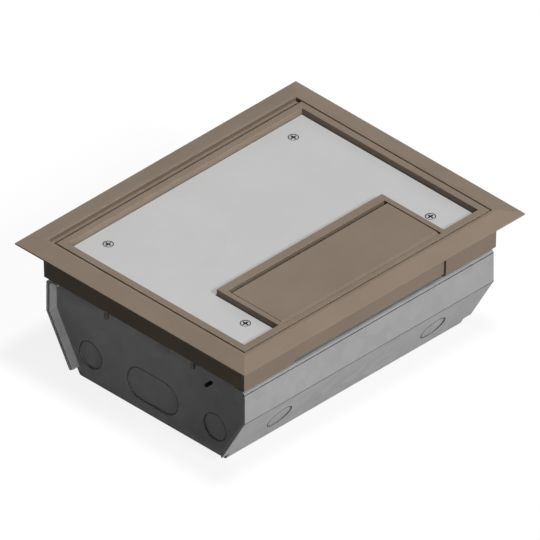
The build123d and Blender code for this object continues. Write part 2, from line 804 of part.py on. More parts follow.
def socket_shutter(x, y):
    """A shutter: a blade that closes both flat-pin slots and an arm that the earth pin pushes."""
    blade_x, near, far = shutter_outline()
    z = (neck_foot + shutter_gap, neck_foot + shutter_gap + shutter_thickness)
    arm = shutter_arm_width / 2
    reach = pin_pitch / 2 - earth_slot_length / 2 - shutter_gap
    body = block((x - blade_x, x + blade_x), (y + near, y + far), z)
    return body + block((x - arm, x + arm), (y + far - 1, y + reach), z)


def rocker_well(x, z):
    half = rocker_width / 2 + rocker_gap
    end = rocker_half_length + rocker_end_gap
    return block((x - half, x + half), (-end, end), z)


def socket_front(x):
    """The twin socket's moulded front: a bevelled plate over a neck, with slots and rocker wells."""
    size = (socket_width, socket_length)
    small = (socket_width - 2 * socket_bevel, socket_length - 2 * socket_bevel)
    face = frustum(size, small, (socket_top - socket_bevel, socket_top))
    body = Pos(x, 0, 0) * (face + centred(*size, (plate_top, socket_top - socket_bevel)))
    half_x, half_y = neck_x - plate_fit, neck_y - plate_fit
    body += block((x - half_x, x + half_x), (-half_y, half_y), (neck_foot, plate_top + 1))
    for y in socket_centres():
        for slot in live_slots(x, y, (neck_foot - 1, socket_top + 1)):
            body -= slot
        body -= earth_slot(x, y, (neck_foot - 1, socket_top + 1))
        body -= shutter_pocket(x, y)
    for side in (-1, 1):
        body -= rocker_well(x + side * rocker_x, (neck_foot - 1, socket_top + 1))
    span = rocker_x + rocker_width / 2 + rocker_pivot_depth + rocker_fit
    body -= axle(rocker_pivot_radius + rocker_fit, (x - span, x + span), 0, pivot_z)
    for y in socket_screw_y():
        body -= post(accessory_screw_radius, x, y, (neck_foot - 1, socket_top + 1))
        body -= socket_sink(x, y)
    return body


def socket_sink(x, y):
    """The countersunk seat of a socket screw's head."""
    middle = socket_top - socket_sink_depth / 2
    return Pos(x, y, middle) * Cone(accessory_screw_radius, pan_head_radius, socket_sink_depth)


def socket_back(x):
    """The closed terminal housing below the front, tapered towards its foot."""
    wide_x, wide_y = neck_x - socket_back_inset, neck_y - socket_back_end_inset
    shoulder = neck_foot - socket_back_depth * socket_shoulder_share
    body = block((x - wide_x, x + wide_x), (-wide_y, wide_y), (shoulder, neck_foot))
    foot_size = (2 * (wide_x - socket_foot_taper_x), 2 * (wide_y - socket_foot_taper_y))
    foot = frustum(foot_size, (2 * wide_x, 2 * wide_y), (back_foot, shoulder))
    body += Pos(x, 0, 0) * foot
    floor = socket_top - slot_depth - socket_rise
    for y in socket_centres():
        for slot in live_slots(x, y, (floor, neck_foot + 1)):
            body -= slot
        body -= earth_slot(x, y, (floor, neck_foot + 1))
    for side in (-1, 1):
        body -= rocker_well(x + side * rocker_x, (socket_top - rocker_well_depth, neck_foot + 1))
    return body


def socket_rocker(x):
    """A switch rocker on two stub pivots, at rest in its off position."""
    end, belly = rocker_half_length, rocker_belly_half
    crest, valley = rocker_pivot_drop + rocker_crest, rocker_pivot_drop + rocker_valley
    points = [(-end, rocker_end_rise), (-belly, -rocker_belly_depth), (belly, -rocker_belly_depth),
              (end, rocker_end_rise), (end, crest), (0, valley), (-end, crest)]
    body = along_x(across(points), (-rocker_width / 2, rocker_width / 2))
    stub = rocker_width / 2 + rocker_pivot_depth
    body += axle(rocker_pivot_radius, (-stub, stub), 0, 0)
    return Pos(x, 0, pivot_z) * Rot(rocker_rest_tilt, 0, 0) * body


def socket_screws(x):
    """Countersunk screws that hold the socket front to its plate."""
    screws = []
    for y in socket_screw_y():
        screws.append(socket_sink(x, y) + post(accessory_screw_radius, x, y, (neck_foot - 1, socket_top - 1)))
    return screws


def jack_centres():
    return [jack_pitch * (i - (jack_count - 1) / 2) for i in range(jack_count)]


def data_plate(x):
    """The accessory plate with one cut-out for each data outlet."""
    body = accessory_plate(x)
    half_x = jack_width / 2 - jack_body_inset
    half_y = jack_length / 2 - jack_body_inset
    for y in jack_centres():
        body -= block((x - half_x, x + half_x), (y - half_y, y + half_y), (shelf_top - 1, plate_top + 1))
    return body


def data_jack(x, y):
    """A data outlet: a rim on the plate and a body below it, with the plug's stepped opening."""
    top = plate_top + jack_rim
    half_x = jack_width / 2 - jack_body_inset - jack_fit
    half_y = jack_length / 2 - jack_body_inset - jack_fit
    rim = block((x - jack_width / 2, x + jack_width / 2), (y - jack_length / 2, y + jack_length / 2),
                (plate_top, top))
    rim = chamfer(rim.edges().group_by(Axis.Z)[-1], jack_rim_chamfer)
    body = rim + block((x - half_x, x + half_x), (y - half_y, y + half_y),
                       (plate_top - jack_body_depth, plate_top + 0.5))
    body -= block((x - jack_opening_x / 2, x + jack_opening_x / 2),
                  (y - jack_opening_y / 2, y + jack_opening_y / 2), (top - jack_depth, top + 1))
    side = x + jack_opening_x / 2
    body -= block((side - 1, side + jack_latch_x), (y - jack_latch_y / 2, y + jack_latch_y / 2),
                  (top - jack_depth, top + 1))
    return body


def earth_stud():
    """A stud welded to the base by its flange."""
    body = post(stud_head_radius, 0, stud_y, (sheet, sheet + stud_head_height))
    return body + post(stud_radius, 0, stud_y, (sheet + 0.5, sheet + stud_length))


def earth_nuts():
    first = sheet + stud_head_height
    second = first + nut_thickness + nut_gap
    return [hex_nut(0, stud_y, first), hex_nut(0, stud_y, second)]


def corner_places():
    """The four clamp places, with their names."""
    names = {(-1, -1): "near_left", (-1, 1): "far_left", (1, -1): "near_right", (1, 1): "far_right"}
    return {name: (sx * clamp_x, sy * clamp_y) for (sx, sy), name in names.items()}


def make_pieces():
    """Every node of the part, as a list of solids under its name."""
    left, middle, right = compartment_x
    pieces = {
        "trim_frame": [trim_frame()],
        "box_trough": [box_trough()],
        "end_plate_left": [end_plate(-1)],
        "end_plate_right": [end_plate(1)],
        "frame_screws": frame_screws(),
        "lid_frame": [lid_frame()],
        "lid_plate": [lid_plate()],
        "lid_plate_screws": lid_plate_screws(),
        "lid_hinge_pins": lid_hinge_pins(),
        "cable_flap": [cable_flap()],
        "flap_hinge_pins": flap_hinge_pins(),
        "flap_foam": [flap_foam()],
        "divider_left": [divider(divider_x[0])],
        "divider_right": [divider(divider_x[1])],
        "plate_rail_near": [plate_rail(-1)],
        "plate_rail_far": [plate_rail(1)],
        "socket_plate": [socket_plate(left)],
        "socket_front": [socket_front(left)],
        "socket_back": [socket_back(left)],
        "socket_screws": socket_screws(left),
        "blank_plate": [accessory_plate(middle)],
        "data_plate": [data_plate(right)],
        "accessory_screws": accessory_screws(),
        "earth_stud": [earth_stud()],
        "earth_nuts": earth_nuts(),
    }
    for name, (x, y) in corner_places().items():
        pieces["clamp_screw_" + name] = [clamp_screw(x, y)]
        pieces["clamp_claw_" + name] = [clamp_claw(x, y)]
    for name, side in (("left", -1), ("right", 1)):
        pieces["rocker_" + name] = [socket_rocker(left + side * rocker_x)]
    for name, y in zip(("near", "far"), socket_centres()):
        pieces["shutter_" + name] = [socket_shutter(left, y)]
    for number, y in enumerate(jack_centres(), start=1):
        pieces[f"data_jack_{number}"] = [data_jack(right, y)]
    return pieces


os.makedirs("parts", exist_ok=True)
for node, solids in make_pieces().items():
    shape = solids[0] if len(solids) == 1 else Compound(children=list(solids))
    export_step(shape, f"parts/{node}.step")
print("lid opens about y", round(lid_axis_y, 3), "z", round(lid_axis_z, 3))
print("flap opens about y", round(flap_axis_y, 3), "z", round(flap_axis_z, 3))
print("clamps at x", round(clamp_x, 3), "rocker pivots at z", round(pivot_z, 3))
print("lean of the sides", round(degrees(lean), 2), "slope length", round(hypot(
    break_height, (box_width - base_width) / 2), 2))
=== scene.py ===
# %% [markdown]
# # A floor socket box
# A floor socket box sits in a raised office floor. From above it is a brown moulded frame
# with a hinged lid, and under the floor hangs a box folded from galvanised steel sheet.
# The engineering model gives every piece its place. This lesson dresses those pieces:
# it rounds the edges that a mould or a folding press rounds, adds the small parts that
# catch the eye, and mixes a finish for each material.

# %% Load the engineering model
import bpy
import bmesh
import json
from math import atan2, cos, pi, radians, sin
from mathutils import Matrix, Vector


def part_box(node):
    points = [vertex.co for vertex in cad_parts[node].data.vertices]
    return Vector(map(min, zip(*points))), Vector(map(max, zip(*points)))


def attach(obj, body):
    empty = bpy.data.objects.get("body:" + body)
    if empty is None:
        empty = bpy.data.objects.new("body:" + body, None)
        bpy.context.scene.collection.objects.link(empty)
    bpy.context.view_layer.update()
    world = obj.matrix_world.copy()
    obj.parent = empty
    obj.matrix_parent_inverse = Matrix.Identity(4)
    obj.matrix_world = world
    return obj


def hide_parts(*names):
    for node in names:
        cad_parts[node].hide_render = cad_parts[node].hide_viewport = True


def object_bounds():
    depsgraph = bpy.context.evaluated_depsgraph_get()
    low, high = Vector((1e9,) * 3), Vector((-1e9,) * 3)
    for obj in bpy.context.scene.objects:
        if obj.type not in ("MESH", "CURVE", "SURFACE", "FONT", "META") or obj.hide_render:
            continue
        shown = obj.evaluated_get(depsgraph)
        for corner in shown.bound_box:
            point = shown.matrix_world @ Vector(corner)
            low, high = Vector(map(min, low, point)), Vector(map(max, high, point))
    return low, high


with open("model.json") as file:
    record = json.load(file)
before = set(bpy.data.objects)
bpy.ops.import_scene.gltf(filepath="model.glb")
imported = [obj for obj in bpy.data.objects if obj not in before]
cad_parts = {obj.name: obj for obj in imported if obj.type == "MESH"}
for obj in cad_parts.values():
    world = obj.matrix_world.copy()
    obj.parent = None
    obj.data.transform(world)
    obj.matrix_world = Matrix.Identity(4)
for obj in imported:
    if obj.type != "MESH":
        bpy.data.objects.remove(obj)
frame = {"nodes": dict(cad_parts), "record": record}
nodes = frame["nodes"]
cad_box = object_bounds()
collection = bpy.context.scene.collection
MM = 0.001
print("pieces of the engineering model:", len(nodes))

# %% [markdown]
# ## The camera
# The drawing that this part follows is a true isometric view: the three axes of the box
# make equal angles with the picture. An orthographic camera looks down one corner of the
# box for that, 45 degrees round and 35.26 degrees up. Its scale makes the flange's
# corners land where the drawing has them.

# %% Place the camera
PICTURE_WIDTH = 0.4076
CAMERA_TARGET = Vector((0.0, 0.0, 0.0731))
ISOMETRIC_LIFT = radians(35.264)
CAMERA_DISTANCE = 2.0
FARTHEST_SEEN = 20.0


def place_camera():
    data = bpy.data.cameras.new("camera")
    data.type = "ORTHO"
    data.ortho_scale = PICTURE_WIDTH
    data.clip_end = FARTHEST_SEEN
    camera = bpy.data.objects.new("camera", data)
    towards = Vector((-cos(ISOMETRIC_LIFT) * sin(pi / 4), -cos(ISOMETRIC_LIFT) * cos(pi / 4),
                      sin(ISOMETRIC_LIFT)))
    camera.location = CAMERA_TARGET + CAMERA_DISTANCE * towards
    camera.rotation_euler = (-towards).to_track_quat("-Z", "Y").to_euler()
    collection.objects.link(camera)
    bpy.context.scene.camera = camera
    return camera


camera = place_camera()
print("camera at", [round(value, 3) for value in camera.location])

# %% [markdown]
# ## Floor and light
# The drawing has a white page behind the box, bright faces on top and on the long side,
# and a dark face at the short end. A high sun lights the top, and one half-way up reaches
# under the flange. A third shines along the floor at the long side, so the side that
# leans in is nearly as bright as the upright one above it. A weak fourth keeps the far
# sides readable from behind. The world is white to the camera and to anything that
# mirrors it, but dim as a lamp, so the white page costs the object no contrast.

# %% Helpers for node trees
def add_node(tree, kind, values=None, **settings):
    node = tree.nodes.new(kind)
    for name, value in settings.items():
        setattr(node, name, value)
    for name, value in (values or {}).items():
        node.inputs[name].default_value = value
    return node


def seen_directly(tree):
    """1 for rays from the camera, for mirror rays and for rays through glass, and else 0."""
    path = add_node(tree, "ShaderNodeLightPath")
    first = add_node(tree, "ShaderNodeMath", operation="MAXIMUM")
    second = add_node(tree, "ShaderNodeMath", operation="MAXIMUM")
    tree.links.new(path.outputs["Is Camera Ray"], first.inputs[0])
    tree.links.new(path.outputs["Is Glossy Ray"], first.inputs[1])
    tree.links.new(first.outputs[0], second.inputs[0])
    tree.links.new(path.outputs["Is Transmission Ray"], second.inputs[1])
    return second.outputs[0]


# %% Light the set
WORLD_LIGHT = 0.03
SUN_DISTANCE = 2.0


def build_world():
    world = bpy.data.worlds.new("studio")
    bpy.context.scene.world = world
    world.use_nodes = True
    tree = world.node_tree
    tree.nodes.clear()
    page = add_node(tree, "ShaderNodeBackground", {"Color": (1, 1, 1, 1), "Strength": 1.0})
    lamp = add_node(tree, "ShaderNodeBackground", {"Color": (1, 1, 1, 1), "Strength": WORLD_LIGHT})
    mix = add_node(tree, "ShaderNodeMixShader")
    output = add_node(tree, "ShaderNodeOutputWorld")
    tree.links.new(seen_directly(tree), mix.inputs[0])
    tree.links.new(lamp.outputs[0], mix.inputs[1])
    tree.links.new(page.outputs[0], mix.inputs[2])
    tree.links.new(mix.outputs[0], output.inputs[0])


def add_sun(name, towards, strength, spread):
    data = bpy.data.lights.new(name, "SUN")
    data.energy = strength
    data.angle = radians(spread)
    lamp = bpy.data.objects.new(name, data)
    lamp.rotation_euler = Vector(towards).to_track_quat("Z", "Y").to_euler()
    lamp.location = Vector(towards) * SUN_DISTANCE
    collection.objects.link(lamp)
    return lamp


build_world()
suns = [
    add_sun("key", (0.05, -0.20, 0.98), 1.95, 10),
    add_sun("front_fill", (0.0, -0.80, 0.60), 1.65, 15),
    add_sun("side_fill", (-0.09, -1.0, 0.04), 1.45, 8),
    add_sun("back_fill", (0.35, 0.93, 0.02), 0.75, 40),
]
print("suns:", [lamp.name for lamp in suns])


# %% [markdown]
# The floor is part lamp and part paper: it glows almost white by itself, and the rest of
# its white comes from the suns, so the object's shadow still shows on it. To rays that
# only carry light between surfaces it is a dark paper, which keeps the sides from being
# lit from below.

# %% Lay the floor
FLOOR_SIZE = 6.0
FLOOR_GAP = 0.0002
FLOOR_SHADE = 0.15
FLOOR_GLOW = 0.86
FLOOR_BOUNCE = 0.09


def build_floor():
    bm = bmesh.new()
    bmesh.ops.create_grid(bm, x_segments=1, y_segments=1, size=FLOOR_SIZE / 2)
    bmesh.ops.translate(bm, verts=bm.verts, vec=(0, 0, cad_box[0][2] - FLOOR_GAP))
    mesh = bpy.data.meshes.new("floor")
    bm.to_mesh(mesh)
    bm.free()
    floor = bpy.data.objects.new("floor", mesh)
    collection.objects.link(floor)
    material = bpy.data.materials.new("floor_paper")
    material.use_nodes = True
    tree = material.node_tree
    tree.nodes.clear()
    shade = add_node(tree, "ShaderNodeBsdfDiffuse", {"Color": (FLOOR_SHADE,) * 3 + (1,)})
    glow = add_node(tree, "ShaderNodeEmission", {"Color": (1, 1, 1, 1), "Strength": FLOOR_GLOW})
    paper = add_node(tree, "ShaderNodeAddShader")
    dim = add_node(tree, "ShaderNodeBsdfDiffuse", {"Color": (FLOOR_BOUNCE,) * 3 + (1,)})
    mix = add_node(tree, "ShaderNodeMixShader")
    output = add_node(tree, "ShaderNodeOutputMaterial")
    tree.links.new(shade.outputs[0], paper.inputs[0])
    tree.links.new(glow.outputs[0], paper.inputs[1])
    tree.links.new(seen_directly(tree), mix.inputs[0])
    tree.links.new(dim.outputs[0], mix.inputs[1])
    tree.links.new(paper.outputs[0], mix.inputs[2])
    tree.links.new(mix.outputs[0], output.inputs[0])
    mesh.materials.append(material)
    return floor


floor = build_floor()
print("floor at z", round(cad_box[0][2], 5))

# %% [markdown]
# ## Finishes
# Every finish starts from the same three layers. A slow noise varies the colour a
# little, as no moulding or sheet is one flat tone. A fine noise varies the gloss. A
# fine bump gives the grain of a mould or of rolled sheet. The scale of each layer is
# set in real millimetres on Object coordinates, so it is the same on every piece.

# %% A finish from three layers of noise
def mix_colours(tree, factor, low, high):
    mix = add_node(tree, "ShaderNodeMix", data_type="RGBA")
    mix.inputs["A"].default_value = (*low, 1)
    mix.inputs["B"].default_value = (*high, 1)
    tree.links.new(factor, mix.inputs["Factor"])
    return mix.outputs["Result"]


def noise(tree, coordinates, size, detail=2.0, roughness=0.5):
    """Noise whose blotches are about this many millimetres across."""
    node = add_node(tree, "ShaderNodeTexNoise",
                    {"Scale": 1.0 / (size * MM), "Detail": detail, "Roughness": roughness})
    tree.links.new(coordinates, node.inputs["Vector"])
    return node.outputs["Fac"]


def spread(tree, value, low, high, start=0.3, end=0.7):
    """Stretch a noise from its usual middle values to a range."""
    node = add_node(tree, "ShaderNodeMapRange",
                    {"From Min": start, "From Max": end, "To Min": low, "To Max": high})
    tree.links.new(value, node.inputs["Value"])
    return node.outputs["Result"]


def bump(tree, height, strength, depth, before=None):
    """A bump of this depth in millimetres."""
    node = add_node(tree, "ShaderNodeBump", {"Strength": strength, "Distance": depth * MM})
    tree.links.new(height, node.inputs["Height"])
    if before is not None:
        tree.links.new(before, node.inputs["Normal"])
    return node.outputs["Normal"]


def new_finish(name, metallic=0.0, **inputs):
    """A material with its shader, its node tree and Object coordinates."""
    material = bpy.data.materials.new(name)
    material.use_nodes = True
    tree = material.node_tree
    shader = tree.nodes["Principled BSDF"]
    shader.inputs["Metallic"].default_value = metallic
    for key, value in inputs.items():
        shader.inputs[key.replace("_", " ")].default_value = value
    place = add_node(tree, "ShaderNodeTexCoord").outputs["Object"]
    return material, tree, shader, place


# %% Moulded plastics
BROWN_LOW = (0.222, 0.174, 0.135)
BROWN_HIGH = (0.246, 0.195, 0.153)


def moulded_plastic(name, low, high, gloss_low, gloss_high, grain=0.35):
    """A moulding with a fine spark-eroded grain, cloudy in tone over a few centimetres."""
    material, tree, shader, place = new_finish(name, Specular_IOR_Level=0.03)
    cloud = noise(tree, place, size=45, detail=3)
    colour = mix_colours(tree, spread(tree, cloud, 0, 1), low, high)
    tree.links.new(colour, shader.inputs["Base Color"])
    patches = noise(tree, place, size=9, detail=4)
    tree.links.new(spread(tree, patches, gloss_low, gloss_high), shader.inputs["Roughness"])
    fine = noise(tree, place, size=grain, detail=2)
    tree.links.new(bump(tree, fine, strength=0.35, depth=0.04), shader.inputs["Normal"])
    return material


brown_plastic = moulded_plastic("brown_plastic", BROWN_LOW, BROWN_HIGH, 0.44, 0.56)
white_plastic = moulded_plastic("white_plastic", (0.66, 0.655, 0.63), (0.72, 0.715, 0.695),
                                0.22, 0.32, grain=0.6)
black_plastic = moulded_plastic("black_plastic", (0.020, 0.020, 0.021), (0.030, 0.030, 0.031),
                                0.35, 0.5)
print("plastics:", brown_plastic.name, white_plastic.name, black_plastic.name)


# %% [markdown]
# ## Sheet metal
# Galvanised sheet is steel with a thin coat of zinc. The zinc freezes in flat crystals,
# each with its own tone, which rolling and handling have softened. Voronoi cells give
# the crystals, a stretched noise gives the faint lines that the rolls leave, and the
# shader is only part metal, because the coat has dulled to a fine grey oxide.

# %% Galvanised steel sheet
RIPPLE = 1.3
ROLLED_STRETCH = (0.04, 1.0, 1.0)


def steel_sheet(name, low, high, metallic, gloss_low, gloss_high, crystal, contrast, lines):
    """Sheet with softened zinc crystals of this many millimetres and faint lines along X."""
    material, tree, shader, place = new_finish(name, metallic, Specular_IOR_Level=0.12)
    cells = add_node(tree, "ShaderNodeTexVoronoi",
                     {"Scale": 1.0 / (crystal * MM), "Randomness": 1.0})
    wobble = add_node(tree, "ShaderNodeVectorMath", operation="MULTIPLY_ADD")
    ripple = add_node(tree, "ShaderNodeTexNoise",
                      {"Scale": 1.0 / (RIPPLE * crystal * MM), "Detail": 2.0})
    tree.links.new(place, ripple.inputs["Vector"])
    tree.links.new(ripple.outputs["Color"], wobble.inputs[0])
    wobble.inputs[1].default_value = (crystal * MM,) * 3
    tree.links.new(place, wobble.inputs[2])
    tree.links.new(wobble.outputs[0], cells.inputs["Vector"])
    tone = add_node(tree, "ShaderNodeSeparateColor")
    tree.links.new(cells.outputs["Color"], tone.inputs[0])
    cloud = noise(tree, place, size=60, detail=3)
    blend = add_node(tree, "ShaderNodeMath", operation="MULTIPLY_ADD")
    tree.links.new(tone.outputs[0], blend.inputs[0])
    blend.inputs[1].default_value = contrast
    tree.links.new(spread(tree, cloud, 0, 1 - contrast), blend.inputs[2])
    tree.links.new(mix_colours(tree, blend.outputs[0], low, high), shader.inputs["Base Color"])
    gloss = spread(tree, tone.outputs[1], gloss_low, gloss_high, start=0, end=1)
    tree.links.new(gloss, shader.inputs["Roughness"])
    rolled = add_node(tree, "ShaderNodeMapping")
    rolled.inputs["Scale"].default_value = ROLLED_STRETCH
    tree.links.new(place, rolled.inputs["Vector"])
    streaks = noise(tree, rolled.outputs[0], size=0.8, detail=3)
    tree.links.new(bump(tree, streaks, strength=lines, depth=0.03), shader.inputs["Normal"])
    return material


infill_steel = steel_sheet("infill_steel", (0.515, 0.515, 0.515), (0.545, 0.545, 0.545),
                           metallic=0.08, gloss_low=0.46, gloss_high=0.54,
                           crystal=14, contrast=0.35, lines=0.08)
galvanised_steel = steel_sheet("galvanised_steel", (0.335, 0.335, 0.338), (0.395, 0.395, 0.398),
                               metallic=0.05, gloss_low=0.42, gloss_high=0.55,
                               crystal=9, contrast=0.55, lines=0.12)
print("sheet metals:", infill_steel.name, galvanised_steel.name)


# %% [markdown]
# The small metal parts share one recipe: a cloud of tone a few millimetres across, and a
# very fine bump like the marks of the die. Only the colour, the gloss and how much of a
# metal it is differ. The near-black painted shade in joints, gaps and recesses, and the
# dulled zinc on bends use it too.

# %% Screws, pins, brass and foam
def small_metal(name, low, high, metallic, gloss_low, gloss_high):
    """Plated fastener metal: a soft cloud of tone and the fine marks of the die."""
    material, tree, shader, place = new_finish(name, metallic)
    cloud = noise(tree, place, size=2.5, detail=4)
    colour = mix_colours(tree, spread(tree, cloud, 0, 1), low, high)
    tree.links.new(colour, shader.inputs["Base Color"])
    tree.links.new(spread(tree, cloud, gloss_low, gloss_high), shader.inputs["Roughness"])
    marks = noise(tree, place, size=0.25, detail=2)
    tree.links.new(bump(tree, marks, strength=0.25, depth=0.02), shader.inputs["Normal"])
    return material


zinc_screws = small_metal("zinc_screws", (0.44, 0.44, 0.445), (0.54, 0.54, 0.545), 0.25, 0.34, 0.48)
# Painted shade: the clamp screws sit in shade below the flange, and this near-black steel paints
# that shade into their colour.
oiled_steel = small_metal("oiled_steel", (0.05, 0.05, 0.052), (0.10, 0.10, 0.102), 0.3, 0.34, 0.5)
pin_steel = small_metal("pin_steel", (0.30, 0.30, 0.31), (0.38, 0.38, 0.39), 0.8, 0.22, 0.34)
brass = small_metal("brass_fittings", (0.50, 0.36, 0.12), (0.60, 0.44, 0.17), 0.9, 0.22, 0.38)
gold_contacts = small_metal("gold_contacts", (0.62, 0.44, 0.14), (0.72, 0.53, 0.19),
                            0.95, 0.18, 0.28)
# Painted shade: shadow_gap is a near-black finish that stands in for the shade in narrow gaps and
# recesses.
shadow_gap = small_metal("shadow_gap", (0.012, 0.012, 0.012), (0.030, 0.029, 0.028), 0.0, 0.7, 0.9)
bent_zinc = small_metal("bent_zinc", (0.030, 0.030, 0.031), (0.060, 0.060, 0.062), 0.05, 0.6, 0.8)
switch_red = moulded_plastic("switch_red", (0.42, 0.02, 0.015), (0.50, 0.03, 0.02),
                             0.25, 0.35, grain=0.6)


PORE = 0.7


def soft_foam(name):
    """Dark closed-cell foam: round cells that pit the skin."""
    material, tree, shader, place = new_finish(name, Roughness=0.9)
    cells = add_node(tree, "ShaderNodeTexVoronoi", {"Scale": 1.0 / (PORE * MM)})
    tree.links.new(place, cells.inputs["Vector"])
    pits = spread(tree, cells.outputs["Distance"], 0, 1, start=0.0, end=0.6)
    tree.links.new(mix_colours(tree, pits, (0.035, 0.035, 0.037), (0.065, 0.065, 0.068)),
                   shader.inputs["Base Color"])
    tree.links.new(bump(tree, pits, strength=0.6, depth=0.25), shader.inputs["Normal"])
    return material


foam = soft_foam("foam")
print("small finishes:", zinc_screws.name, pin_steel.name, brass.name, foam.name)

# %% [markdown]
# ## Softened mouldings and sheets
# The engineering model has knife-sharp edges, and no real moulding or sheet has. So each
# large piece is copied, its loose triangles are merged, and a small bevel rounds the
# edges that turn sharply. Joining the triangles into large faces first would be tidy,
# but a large face round an opening can close over it, so the triangles stay. Wide flat
# faces keep flat shading, and only curved faces and the new rounds are smooth. That
# keeps a flat face truly flat beside its rounds, with no need for stored normals.

# %% Tables that say what each piece is made of and what it moves with
FINISH_OF_SLOT = {
    "brown_plastic": brown_plastic, "steel_infill": infill_steel,
    "galvanised_steel": galvanised_steel, "zinc_screws": zinc_screws,
    "pin_steel": pin_steel, "brass_fittings": brass,
    "white_plastic": white_plastic, "black_plastic": black_plastic, "foam": foam,
}
record = frame["record"]
body_of = {node: body for body, members in record["behaviour"]["bodies"].items()
           for node in members}
slot_of = {row["node"]: row["material_slot"] for row in record["subparts"]}
print("bodies:", len(set(body_of.values())), "finishes in use:", sorted(set(slot_of.values())))


# %% Put a finished piece in its place
def dress(piece, body, slot, *stands_for, finish=None):
    """Give a new piece its finish and its body, and hide the nodes that it stands for."""
    piece.data.materials.append(finish or FINISH_OF_SLOT[slot])
    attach(piece, body)
    if stands_for:
        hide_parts(*stands_for)
    return piece


def mesh_object(name, bm, sharp_above=35):
    """An object from a bmesh, with its creases marked and its flat faces left flat."""
    bm.normal_update()
    for edge in bm.edges:
        edge.smooth = len(edge.link_faces) == 2 and edge.calc_face_angle(pi) < radians(sharp_above)
    mesh = bpy.data.meshes.new(name)
    bm.to_mesh(mesh)
    bm.free()
    piece = bpy.data.objects.new(name, mesh)
    collection.objects.link(piece)
    return piece


# %% Tell flat faces from curved ones
COPLANAR = radians(0.3)
SHARP = radians(28)
NARROW = 1.6 * MM
LEAST_BORDER = 1e-9


def flat_patches(bm):
    """Faces grouped into patches that lie in one plane."""
    patches, seen = [], set()
    for start in bm.faces:
        if start in seen:
            continue
        patch, queue = [], [start]
        seen.add(start)
        while queue:
            face = queue.pop()
            patch.append(face)
            for edge in face.edges:
                if len(edge.link_faces) == 2 and edge.calc_face_angle(pi) < COPLANAR:
                    for other in edge.link_faces:
                        if other not in seen:
                            seen.add(other)
                            queue.append(other)
        patches.append(patch)
    return patches


def shade_by_width(bm):
    """Smooth the narrow strips that make up curved walls, and keep the wide faces flat."""
    for patch in flat_patches(bm):
        members = set(patch)
        border = [edge for face in patch for edge in face.edges
                  if not all(other in members for other in edge.link_faces)]
        around = max(sum(edge.calc_length() for edge in border), LEAST_BORDER)
        width = 2 * sum(face.calc_area() for face in patch) / around
        curved = any(COPLANAR < edge.calc_face_angle(pi) < SHARP
                     for edge in border if len(edge.link_faces) == 2)
        for face in patch:
            face.smooth = curved and width < NARROW


# %% [markdown]
# Two kinds of edge catch the eye. The rounded edge of the infill plate, where it meets the
# moulding in a narrow joint, gets painted shade: a near-black finish that stands in for
# the shade in that joint. Where the trough's upright strips bend into the leaning sides
# and the lips, the zinc crazes and dulls, which draws a fine line. Those faces take a
# second finish.

# %% Round the edges of a piece
# The lid plate's entry is painted shade for the joint round the plate.
DARK_EDGE = {"lid_plate": shadow_gap, "box_trough": bent_zinc}
BEND_FACES = (radians(6), radians(24))
ALONG_BEND = 0.02
MERGE = 2e-6
SHORTEST_ROUNDED = 1.0 * MM


def darken_bends(bm):
    """Give the lengthwise bend faces that lean a little from upright the second finish."""
    for face in bm.faces:
        lean = atan2(abs(face.normal.z), abs(face.normal.y))
        if abs(face.normal.x) < ALONG_BEND and BEND_FACES[0] < lean < BEND_FACES[1]:
            face.material_index = 1


def rounded_mesh(node, radius):
    """A merged copy of a node with its longer sharp edges rounded."""
    bm = bmesh.new()
    bm.from_mesh(nodes[node].data)
    bmesh.ops.remove_doubles(bm, verts=bm.verts, dist=MERGE)
    bm.normal_update()
    edges = [edge for edge in bm.edges if len(edge.link_faces) == 2
             and edge.calc_face_angle(0) > SHARP and edge.calc_length() > SHORTEST_ROUNDED]
    rounds = bmesh.ops.bevel(bm, geom=edges, offset=radius * MM, segments=2, profile=0.5,
                             affect="EDGES", material=-1, clamp_overlap=False)["faces"]
    # Painted shade: the plate's rounded edges take the near-black finish, which stands in for the
    # shade in the joint round the plate.
    if node == "lid_plate":
        for face in rounds:
            face.material_index = 1
    bmesh.ops.triangulate(bm, faces=bm.faces)
    bm.normal_update()
    shade_by_width(bm)
    if node == "box_trough":
        darken_bends(bm)
    return bm


def softened(node, radius):
    piece = dress(mesh_object(node + "_soft", rounded_mesh(node, radius)),
                  body_of[node], slot_of[node], node)
    if node in DARK_EDGE:
        piece.data.materials.append(DARK_EDGE[node])
    return piece


SOFTENED = {
    "trim_frame": 0.28, "lid_frame": 0.25, "cable_flap": 0.28, "lid_plate": 0.35,
    "box_trough": 0.18, "end_plate_left": 0.18, "end_plate_right": 0.18, "socket_front": 0.25,
    "blank_plate": 0.12, "socket_plate": 0.12, "data_plate": 0.12, "divider_left": 0.12,
    "divider_right": 0.12, "plate_rail_near": 0.18, "plate_rail_far": 0.18,
}
for node, radius in SOFTENED.items():
    piece = softened(node, radius)
    print(piece.name, "triangles:", len(piece.data.polygons))

# %% [markdown]
# The pieces that stay as the engineering model has them still get a finish. Their
# material slots are filled from the record, which names the finish of every piece.

# %% Finish the remaining pieces
for node, piece in nodes.items():
    piece.data.materials.clear()
    piece.data.materials.append(FINISH_OF_SLOT[slot_of[node]])
    for polygon in piece.data.polygons:
        polygon.use_smooth = True
    piece.data.set_sharp_from_angle(angle=radians(30))
print("finished pieces of the engineering model:", len(nodes))

# %% [markdown]
# ## Knock-out lines
# A knock-out blank is pressed part of the way through the sheet, and the shear leaves a
# narrow step along the edge of the blank. A narrow dark band of painted shade covers
# that sheared edge, standing in for the shade in the step, and it is what the eye finds
# first. The record's mounts give the middle and direction of each blank.
#
# A small square spun round the blank's middle makes the band. For an oval blank the two
# halves of the ring are then pulled apart, which draws the straight runs between them.

# %% Bands of painted shade on the sheared edges
BAND_STEPS = 64
BAND_HALF_WIDTH = 0.45
BAND_LOW, BAND_HIGH = -0.03, 0.06
ROUND_BLANK = (0.0, 11.75)
SIDE_BLANK = (0.0, 11.65)
OVAL_BLANK = (12.6, 14.3)


